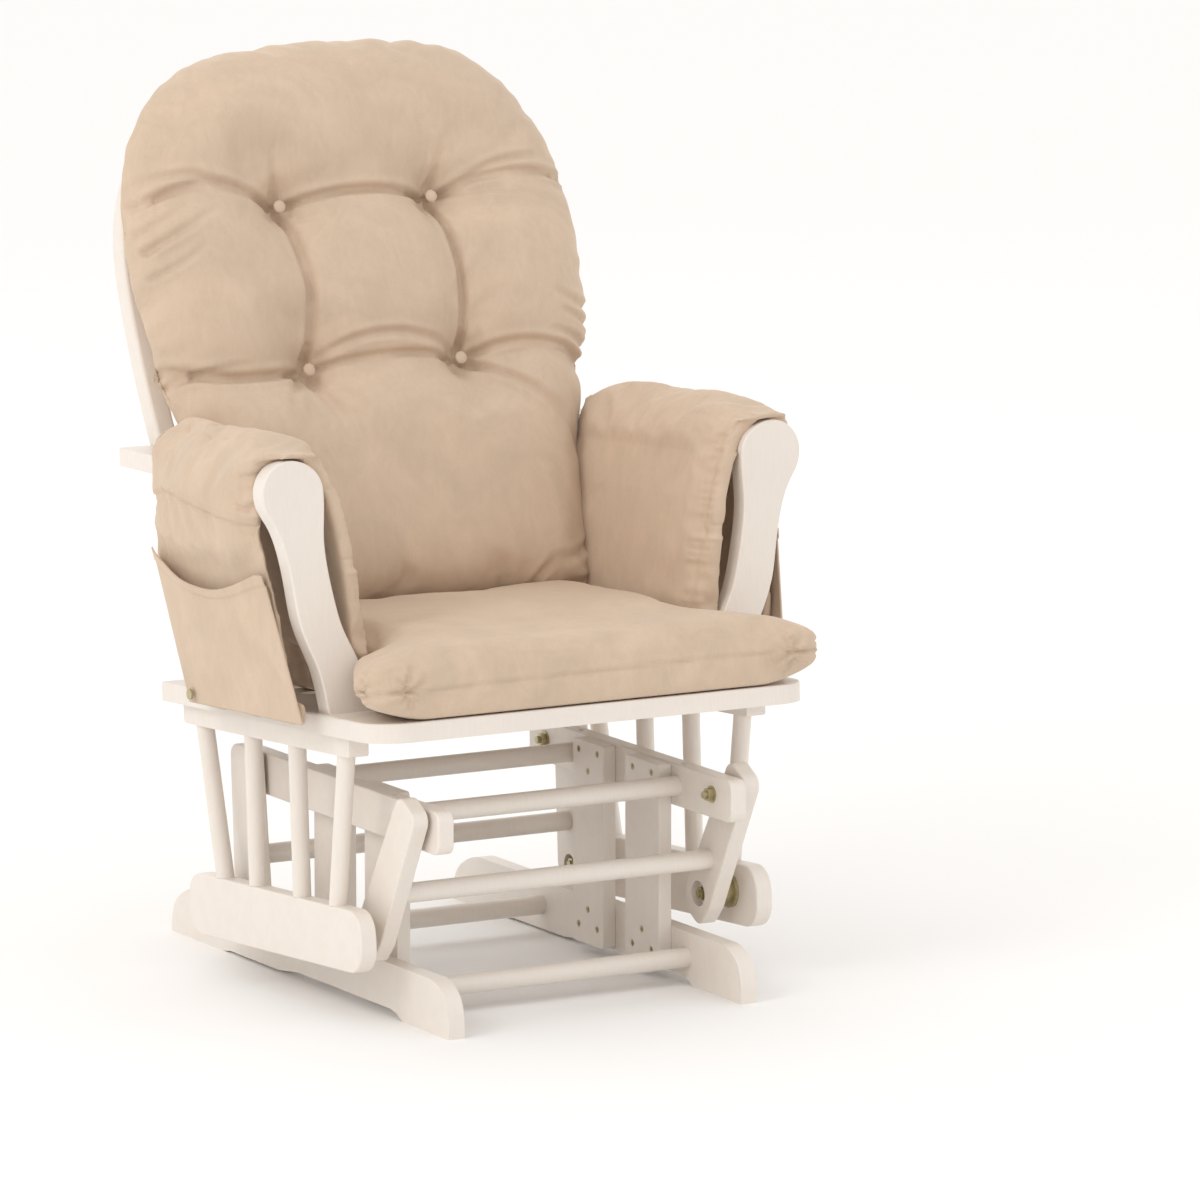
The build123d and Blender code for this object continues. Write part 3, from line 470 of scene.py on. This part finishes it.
def make_back_cushion(material):
    """Buttoned cushion: a domed front tied down at four tufts, flat where it meets the slats."""
    lo, hi = local_box("back_cushion", BACK)
    foot = local_box("back_hoop", BACK)[0][2]
    outline = back_outline(lo, hi)
    rim_y = lo[1] + 0.60 * (hi[1] - lo[1])
    piece = remeshed_copy("back_cushion", "back_cushion_soft", 6 * MM, material, 6)
    points = coords(piece) @ BACK
    across = points[:, [0, 2]]
    inside, _ = along_path(across, outline)
    reach = np.clip(inside / (88 * MM), 0, 1)
    dome = (1 - (1 - reach) ** 2.3) ** (1 / 2.3)
    front = points[:, 1] < rim_y
    front_y = rim_y - dome * (rim_y - lo[1] - 3 * MM)
    back_y = rim_y + np.clip(inside / (40 * MM), 0, 1) ** 0.5 * (hi[1] - rim_y - 1 * MM)
    share = np.clip((rim_y - points[:, 1]) / (rim_y - lo[1]), 0, 1)
    domed = np.maximum(points[:, 1], front_y)
    points[:, 1] = np.where(front, domed, np.minimum(points[:, 1], back_y))
    plan = np.stack([points[:, 0], points[:, 2] - foot], 1) / MM
    press = np.zeros(len(points))
    for path, depth, ends in VALLEYS:
        distance, t = along_path(plan, smoothed(path))
        strength = (1 - 0.25 * np.sin(pi * t)) if ends == "held" else np.clip(1 - t, 0, 1) ** 0.6
        press += (depth * strength * np.exp(-(distance / 26) ** 1.5)) ** 3
    to_tuft = np.min([np.hypot(plan[:, 0] - x, plan[:, 1] - up) for x, up in TUFTS], axis=0)
    for x, up in TUFTS:
        r = np.hypot(plan[:, 0] - x, plan[:, 1] - up)
        press += (34 * np.exp(-(r / 24) ** 1.3)) ** 3
    press = press ** (1 / 3) * MM
    points[:, 1] += np.where(front, press * share ** 0.5, 0)
    set_coords(piece, points @ BACK.T)
    held = np.where(points[:, 1] > hi[1] - 6 * MM, 1.0, 0.0)
    held = np.where(front & (to_tuft < 11), 1.0, held)
    inflate(piece, held, 12 * MM, 4.0, 0.03)
    relax(piece, 10, (inside < 36 * MM) & (points[:, 1] > rim_y))
    subdivide(piece)
    dress_back_cushion(piece, outline, rim_y, foot)
    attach(piece, "seat")
    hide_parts("back_cushion")


def dress_back_cushion(piece, outline, rim_y, foot):
    """Creases, edge seam and gathered edge, pressed into the finished mesh."""
    points = coords(piece) @ BACK
    out = normals(piece) @ BACK
    plan = np.stack([points[:, 0], points[:, 2] - foot], 1) / MM
    facing = np.clip(-out[:, 1] * 2.0, 0, 1)
    press = np.zeros(len(points))
    for path, width, depth, ends in CREASES:
        press += 1.3 * fold_depth(plan, path, width, depth, ends)
    inside, place = along_path(points[:, [0, 2]], outline)
    edge = np.clip(inside / MM, 0, None)
    around = place * 2 * pi
    gather = sum(np.sin(around * k + k * k) for k in (23, 37, 52, 71)) / 4
    press = press * facing + 1.6 * gather * bell(edge, 30) * (points[:, 1] < rim_y + 4 * MM)
    seam = bell((points[:, 1] - rim_y - 6 * MM) / MM, 2.6) * (edge < 26)
    press += 3.2 * seam
    lumps = sum(np.sin(around * k + 1.7 * k) for k in (5, 8, 11)) / 3
    press += 1.8 * lumps * bell(edge, 40)
    press = np.where(edge < 20, np.clip(press, -3, 4), press)
    settled = settle_back(points - out * press[:, None] * MM, foot)
    set_coords(piece, settled @ BACK.T)


def settle_back(points, foot):
    """The stuffing sinks: the foot drops onto the seat and the waist spreads over the arms."""
    up = (points[:, 2] - foot) / MM
    settled = points.copy()
    settled[:, 2] -= FOOT_DROP * MM * eased((FOOT_FREE - up) / (FOOT_FREE - FOOT_FULL))
    spread = WAIST_SPREAD * MM * bell(up - WAIST_UP, 80)
    settled[:, 0] += spread * np.clip(points[:, 0] / (200 * MM), -1, 1) ** 3
    return settled


BUTTON_RADIUS = 7.0 * MM


def make_buttons(material):
    """Four cloth-covered buttons, domed, with a tucked rim."""
    bm = bmesh.new()
    lo, hi = local_box("cushion_buttons", BACK)
    radius = BUTTON_RADIUS
    centres = [(x, up) for x in (lo[0] + radius, hi[0] - radius)
               for up in (lo[2] + radius, hi[2] - radius)]
    rows, turns = 9, 28
    for x, up in centres:
        ring_before = None
        for row in range(rows + 1):
            a = row / rows * pi * 0.62
            ring = []
            for turn in range(turns):
                t = turn / turns * 2 * pi
                pleat = 1 + 0.03 * np.cos(t * 9) * np.sin(a)
                r = radius * np.sin(a) * pleat
                depth = lo[1] + 0.3 * radius - 0.42 * radius * np.cos(a)
                local = np.array([x + r * np.cos(t), depth, up + r * np.sin(t)])
                ring.append(bm.verts.new(BACK @ local))
            if ring_before:
                for i in range(turns):
                    j = (i + 1) % turns
                    bm.faces.new((ring_before[i], ring_before[j], ring[j], ring[i]))
            ring_before = ring
        bm.faces.new(reversed(ring_before))
    bmesh.ops.remove_doubles(bm, verts=bm.verts, dist=0.00005)
    bmesh.ops.recalc_face_normals(bm, faces=bm.faces)
    mesh = bpy.data.meshes.new("buttons")
    bm.to_mesh(mesh)
    bm.free()
    piece = link("covered_buttons", mesh, material)
    smooth_shading(piece)
    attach(piece, "seat")
    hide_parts("cushion_buttons")


# ---------------------------------------------------------------- seat cushion
CROWN_HALF = 225 * MM                  # half width and rise of the crown
CROWN_RISE = 12 * MM
WING_FROM = 200 * MM                   # the front wings begin this far out
WING_DRAW = 30 * MM                    # and draw in this much behind
WING_THIN = (0.5, 0.24)                # how much they thin, below and above the seam
PINCHES = ((9, 30), (42, 4))           # gathered corners, mm from the side and from the front


def make_seat_cushion(material):
    lo, hi = local_box("seat_cushion", SEAT)
    piece = remeshed_copy("seat_cushion", "seat_cushion_soft", 6 * MM, material, 5)
    points = coords(piece) @ SEAT
    held = np.where(points[:, 2] < lo[2] + 3 * MM, 1.0, 0.0)
    held = np.where(points[:, 1] > hi[1] - 4 * MM, 1.0, held)
    inflate(piece, held, 9 * MM, 3.0, 0.02)
    subdivide(piece)
    points = coords(piece) @ SEAT
    out = normals(piece) @ SEAT
    middle = (lo[2] + hi[2]) / 2 + 1 * MM
    side = np.clip(1 - np.abs(out[:, 2]) * 1.2, 0, 1)
    seam_z = middle + 1.5 * MM * np.sin(points[:, 0] * 9)
    press = 2.6 * bell((points[:, 2] - seam_z) / MM, 2.4) * side
    press -= 0.8 * bell((points[:, 2] - seam_z) / MM - 5, 3.0) * side
    for sign in SIDES.values():
        for dx, dy in PINCHES:
            centre = np.array([sign * (hi[0] - dx * MM), lo[1] + dy * MM, middle])
            apart = points - centre
            r = np.linalg.norm(apart, axis=1) / MM
            flat = np.hypot(apart[:, 0], apart[:, 1]) * np.sign(apart[:, 0] * sign + apart[:, 1])
            angle = np.arctan2(apart[:, 2], flat)
            press += 8 * bell(r, 6) + 2.6 * np.cos(angle * 7) * bell(r - 14, 11)
    press += 1.2 * np.sin(points[:, 0] * 31 + 2 * np.sin(points[:, 1] * 17)) * (out[:, 2] > 0.6)
    crown = 1 - (np.abs(points[:, 0]) / CROWN_HALF) ** 6
    crown = np.clip(crown, 0, 1) * eased((points[:, 1] - lo[1] - 25 * MM) / (200 * MM))
    press -= CROWN_RISE * crown * np.clip(out[:, 2], 0, 1) / MM
    settled = settle_seat(points - out * press[:, None] * MM, lo, hi, middle)
    set_coords(piece, settled @ SEAT.T)
    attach(piece, "seat")
    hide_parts("seat_cushion")


def settle_seat(points, lo, hi, middle):
    """The front wings draw in behind and thin out towards their ends."""
    settled = points.copy()
    reach = np.abs(points[:, 0])
    wing = eased((reach - WING_FROM) / (hi[0] - WING_FROM))
    behind = eased((points[:, 1] - lo[1] - 28 * MM) / (85 * MM))
    settled[:, 0] -= np.sign(points[:, 0]) * WING_DRAW * wing * behind
    most = np.where(points[:, 2] > middle, WING_THIN[1], WING_THIN[0])
    thin = 1 - most * eased((reach - WING_FROM) / (hi[0] + 12 * MM - WING_FROM))
    settled[:, 2] = middle + (points[:, 2] - middle) * thin
    return settled


# ---------------------------------------------------------------- arm pads and pockets
# The lists from here to PAD_FOLDS_IN are in mm: (ahead or behind, up) on the side of the pad.
FLAP_UP = (380, 405, 466, 514, 560)     # how far the inner flap leans in, by height
FLAP_LEAN = (30, 27, 20, 12, 0)
FLAP_EDGE_UP = (380, 440, 470, 484)     # front edge of the flap as cut, and where it hangs
FLAP_EDGE = (-112, -131.6, -131.6, -148)
FLAP_EDGE_AT = -152
PAD_TOP = 560                           # the pad's sides end and its top begins
NOSE_ROUND = 20                         # how far the upper inner corner closes round the post
REAR_SWELL = 15                         # how far the inner flap swells at the rear
REAR_TAPER = 19                         # how far the outer flap draws in at the rear
REAR_SHORTEN = 17                       # and how much shorter it is there
OUTER_SEAM = [(165, 530), (135, 540), (100, 545), (60, 544), (10, 537), (-60, 527), (-135, 521)]
INNER_SEAM = [(-136, 575), (-134, 528), (-132, 484), (-116, 460), (-115, 439), (-98, 380)]
PAD_FOLDS_OUT = [                      # on the outer side, near the head of the post and below
    ([(-131, 548), (-112, 541), (-98, 548)], 3.5, 6.0, "free"),
    ([(-131, 578), (-112, 574), (-96, 580)], 3.5, 4.0, "free"),
    ([(96, 540), (82, 500), (60, 468)], 7.0, 2.2, "free"),
    ([(60, 540), (40, 500), (22, 470)], 7.0, 2.0, "free"),
    ([(20, 534), (0, 500), (-16, 470)], 8.0, 1.8, "free"),
    ([(-30, 528), (-50, 500), (-62, 476)], 8.0, 1.4, "free"),
    ([(140, 532), (126, 490), (112, 440)], 8.0, 1.8, "free"),
]
PAD_FOLDS_IN = [                       # on the inner side
    ([(-150, 590), (-132, 572), (-112, 566)], 4.5, 4.0, "free"),
    ([(-150, 575), (-134, 556), (-120, 548)], 4.0, 2.5, "free"),
    ([(-116, 440), (-70, 426), (-20, 430)], 12.0, 1.6, "free"),
    ([(150, 400), (90, 412), (40, 400)], 9.0, 2.0, "free"),
    ([(-100, 392), (-60, 402), (-20, 396)], 7.0, 1.8, "free"),
    ([(160, 520), (110, 500), (60, 505)], 14.0, 1.6, "free"),
]


def make_arm_pad(side, sign, material):
    """Saddle-shaped pad, stuffed over the arm and down its inner side, thin on the outer side."""
    node = f"arm_pad_{side}"
    lo, hi = local_box(node, SEAT)
    board_top = local_box(f"arm_board_{side}", SEAT)[1][2]
    piece = remeshed_copy(node, f"arm_pad_soft_{side}", 5 * MM, material, 6)
    points = coords(piece) @ SEAT
    reach = points[:, 0] * sign
    inner = min(abs(lo[0]), abs(hi[0]))
    outer = max(abs(lo[0]), abs(hi[0]))
    middle = (inner + outer) / 2
    thin = inner + 17 * MM
    channel = (reach > thin) & (reach < outer - 14 * MM) & (points[:, 2] < board_top + 8 * MM)
    held = np.where(channel, 1.0, 0.0)
    post_back = local_box(f"arm_post_{side}", SEAT)[1][1]
    held = np.where(points[:, 1] < post_back + 6 * MM, 1.0, held)
    inflate(piece, held, 9 * MM, 3.5, 0.03)
    subdivide(piece)
    points = coords(piece) @ SEAT
    out = normals(piece) @ SEAT
    plan = np.stack([points[:, 1] + LENGTH_SHIFT, points[:, 2] + HEIGHT_SHIFT], 1) / MM
    reach = points[:, 0] * sign
    outward = np.clip(out[:, 0] * sign * 1.6, 0, 1) * (reach > middle + 20 * MM)
    inward = np.clip(-out[:, 0] * sign * 1.6, 0, 1) * (reach < inner + 14 * MM)
    seam, _ = along_path(plan, smoothed(OUTER_SEAM))
    seam_z = np.interp(plan[:, 0], [p[0] for p in OUTER_SEAM[::-1]], [p[1] for p in OUTER_SEAM[::-1]])
    above = plan[:, 1] - seam_z
    press = 2.8 * bell(seam, 2.4) * outward
    roll = 7 - 6 * eased((plan[:, 0] + 40) / 120)
    press -= roll * np.clip(above / 14, 0, 1) * np.exp(-np.clip(above, 0, None) / 55) * outward
    press += 3.0 * np.clip(-above / 10, 0, 1) * outward
    for path, width, depth, ends in PAD_FOLDS_OUT:
        press += fold_depth(plan, path, width, depth, ends) * outward
    for path, width, depth, ends in PAD_FOLDS_IN:
        press += fold_depth(plan, path, width, depth, ends) * inward
    edge, _ = along_path(plan, smoothed(INNER_SEAM))
    press += 2.2 * bell(edge, 2.2) * inward
    pucker = np.sin(plan[:, 1] * 0.62 + 2 * np.sin(plan[:, 1] * 0.11))
    press += 0.7 * pucker * bell(edge - 6, 6) * inward
    top = np.clip(out[:, 2] * 1.4, 0, 1) * (points[:, 2] > board_top)
    front_droop = 9 * np.clip((-plan[:, 0] - 70) / 90, 0, 1) ** 1.5
    rear_droop = 9 * np.clip((plan[:, 0] - 110) / 60, 0, 1) ** 2
    press += top * (front_droop + rear_droop)
    press += 0.9 * np.sin(plan[:, 0] * 0.05 + 1.3) * np.sin(reach / MM * 0.07) * top
    settled = settle_pad(points - out * press[:, None] * MM, sign, inner, middle)
    set_coords(piece, settled @ SEAT.T)
    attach(piece, "seat")
    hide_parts(node)


def settle_pad(points, sign, inner, middle):
    """The inner flap leans in over the seat and comes forward beside the post, the rear swells
    and the nose closes round the head of the post."""
    settled = points.copy()
    ahead = (points[:, 1] + LENGTH_SHIFT) / MM
    up = (points[:, 2] + HEIGHT_SHIFT) / MM
    reach = points[:, 0] * sign
    flap = eased((middle - reach) / (middle - inner - 18 * MM))
    lean = np.interp(up, FLAP_UP, FLAP_LEAN) * flap
    nose = eased((-100 - ahead) / 45)
    high = np.clip((up - 548) / 50, 0, 1) ** 1.4
    corner = NOSE_ROUND * nose * high * eased((middle - reach) / (30 * MM))
    swell = REAR_SWELL * eased((ahead - 40) / 120) * bell(up - 490, 85)
    over = eased((reach - middle + 22 * MM) / (44 * MM))
    taper = REAR_TAPER * eased((ahead - 10) / 125) * np.clip((up - 465) / 105, 0, 1) * over
    settled[:, 0] -= sign * (lean - corner + taper + 0.4 * swell * flap) * MM
    edge = np.interp(up, FLAP_EDGE_UP, FLAP_EDGE)
    pull = np.clip((-40 - ahead) / (-40 - edge), 0, 1.2) * (FLAP_EDGE_AT - edge)
    shorten = REAR_SHORTEN * eased((ahead - 60) / 100) * over * (0.4 + 0.6 * np.clip((up - 470) / 80, 0, 1))
    settled[:, 1] += (pull * flap * (up < PAD_TOP) + swell * (1 - over) - shorten) * MM
    settled[:, 2] -= 12 * MM * np.clip((440 - up) / 50, 0, 1) * flap
    settled[:, 2] -= 0.5 * np.clip(up - 594, 0, None) * nose * MM
    tip = eased((-134 - ahead) / 10) * (up > 585) * np.clip(reach / MM - 296, 0, None)
    settled[:, 0] -= sign * 0.85 * tip * MM
    return settled


def grid_mesh(name, rows, material):
    """A quad mesh through rows of points."""
    bm = bmesh.new()
    made = [[bm.verts.new(p) for p in row] for row in rows]
    for first, second in zip(made[:-1], made[1:]):
        for i in range(len(first) - 1):
            bm.faces.new((first[i], first[i + 1], second[i + 1], second[i]))
    bmesh.ops.recalc_face_normals(bm, faces=bm.faces)
    mesh = bpy.data.meshes.new(name)
    bm.to_mesh(mesh)
    bm.free()
    return link(name, mesh, material)


def make_pocket(side, sign, material):
    """Patch pocket: a hemmed cloth panel sewn on along its bottom and ends, gaping at the top."""
    node = f"arm_pocket_{side}"
    points = coords(nodes[node]) @ SEAT
    lo, hi = points.min(0), points.max(0)
    reach = np.abs(points[:, 0])
    low_ring = points[points[:, 2] < lo[2] + 0.5 * MM]
    high_ring = points[points[:, 2] > hi[2] - 0.5 * MM]
    front = (low_ring[:, 1].min() - 6 * MM, high_ring[:, 1].min() - 7 * MM)
    rear = (low_ring[:, 1].max() - 4 * MM, high_ring[:, 1].max() - 12 * MM)
    panel = (np.abs(low_ring[:, 0]).min(), np.abs(high_ring[:, 0]).min())
    gape = reach.max() - panel[1] - 3 * MM
    columns = 121
    levels = 91
    rows = []
    for j in range(levels):
        v = j / (levels - 1)
        row = []
        for i in range(columns):
            u = i / (columns - 1)
            sag = 26 * MM * np.sin(pi * min(1, u * 1.05)) ** 1.1 * v ** 1.5
            z = lo[2] + v * (hi[2] + (4 + 10 * (1 - u) ** 2) * MM - lo[2]) - sag
            share = (z - lo[2]) / (hi[2] - lo[2])
            rear_y = rear[0] + (rear[1] - rear[0]) * share
            front_y = front[0] + (front[1] - front[0]) * share
            y = (1 - u) * rear_y + u * front_y
            base = panel[0] + (panel[1] - panel[0]) * share
            belly = np.sin(pi * u) ** 0.75 * (1.2 - 0.75 * u)
            out = base + 1.2 * MM + (gape - 3 * MM) * belly * v ** 1.25
            out += 1.3 * MM * np.sin(u * 19 + v * 2.0) * v * belly
            out += 1.0 * MM * np.sin(u * 9 - v * 7 + 1.0) * belly
            from_mouth = (1 - v) * (hi[2] - lo[2]) / MM
            hem = 1.0 / (1 + np.exp((from_mouth - 13) * 1.6))
            out += (1.5 * hem - 1.5 * np.exp(-((from_mouth - 12) / 1.2) ** 2)) * MM
            row.append(SEAT @ np.array([sign * out, y, z]))
        rows.append(row)
    piece = grid_mesh(f"pocket_soft_{side}", rows, material)
    thicken = piece.modifiers.new("cloth_thickness", "SOLIDIFY")
    thicken.thickness = 1.8 * MM
    thicken.offset = 0
    apply_modifiers(piece)
    smooth_shading(piece)
    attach(piece, "seat")
    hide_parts(node)


# ---------------------------------------------------------------- assembly
def dress_cad_nodes(paint, zinc):
    """Paint on the wooden nodes, zinc on the hardware."""
    slots = {s["node"]: s["material_slot"] for s in frame["record"]["subparts"]}
    chosen = {"painted_wood": paint, "zinc_hardware": zinc}
    for name, node in nodes.items():
        if slots[name] in chosen:
            node.data.materials.clear()
            node.data.materials.append(chosen[slots[name]])


add_camera()
add_floor()
add_lights()
microfibre = suede("beige_microsuede")
dress_cad_nodes(painted_wood(), zinc_plate())
make_back_cushion(microfibre)
make_buttons(microfibre)
make_seat_cushion(microfibre)
for side_name, side_sign in SIDES.items():
    make_arm_pad(side_name, side_sign, microfibre)
    make_pocket(side_name, side_sign, microfibre)
